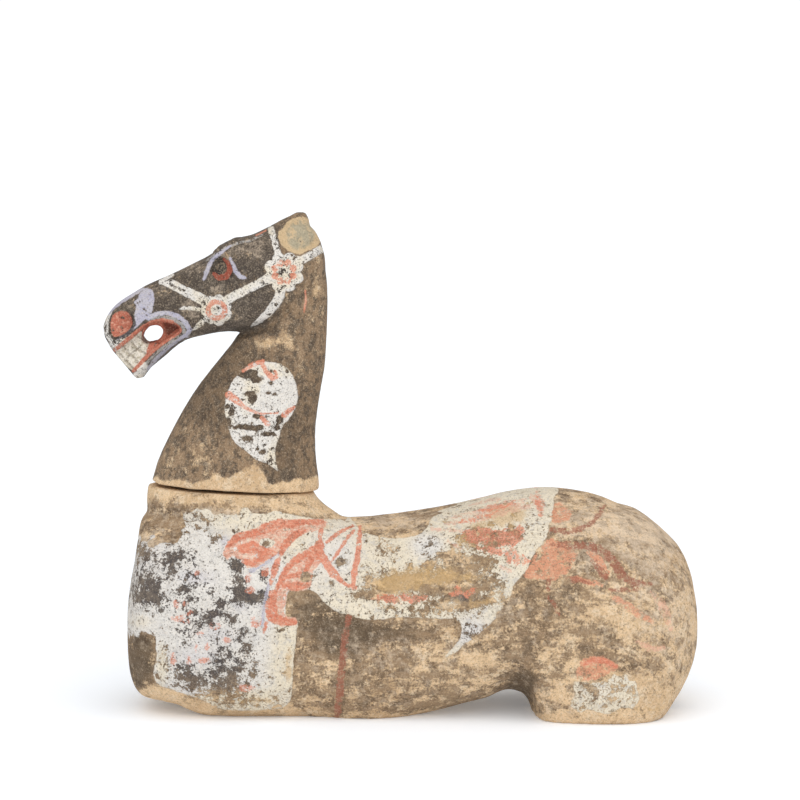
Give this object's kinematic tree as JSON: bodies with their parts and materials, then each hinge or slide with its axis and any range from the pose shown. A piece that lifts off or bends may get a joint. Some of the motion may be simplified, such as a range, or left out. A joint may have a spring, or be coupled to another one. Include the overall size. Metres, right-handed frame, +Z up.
{
  "type": "painted pottery horse",
  "caption": "Painted earthenware figure of a horse: legless torso resting on its flat stumps, with a separate head and neck standing on its collar.",
  "frame": {"origin": "middle of the figure's box, on the surface that it rests on", "axes": "+Z up; the horse faces -X, its left side is toward -Y"},
  "size_m": [0.6208, 0.2266, 0.5193],
  "materials": {
    "painted_torso": "unglazed buff earthenware with worn brown, white, orange, lavender and black paint, matt and dusty",
    "painted_head_and_neck": "unglazed earthenware under worn dark brown paint, with white, orange and lavender details, matt"
  },
  "bodies": {
    "root": {"torso": "painted_torso", "head_and_neck": "painted_head_and_neck"}
  },
  "joints": []
}
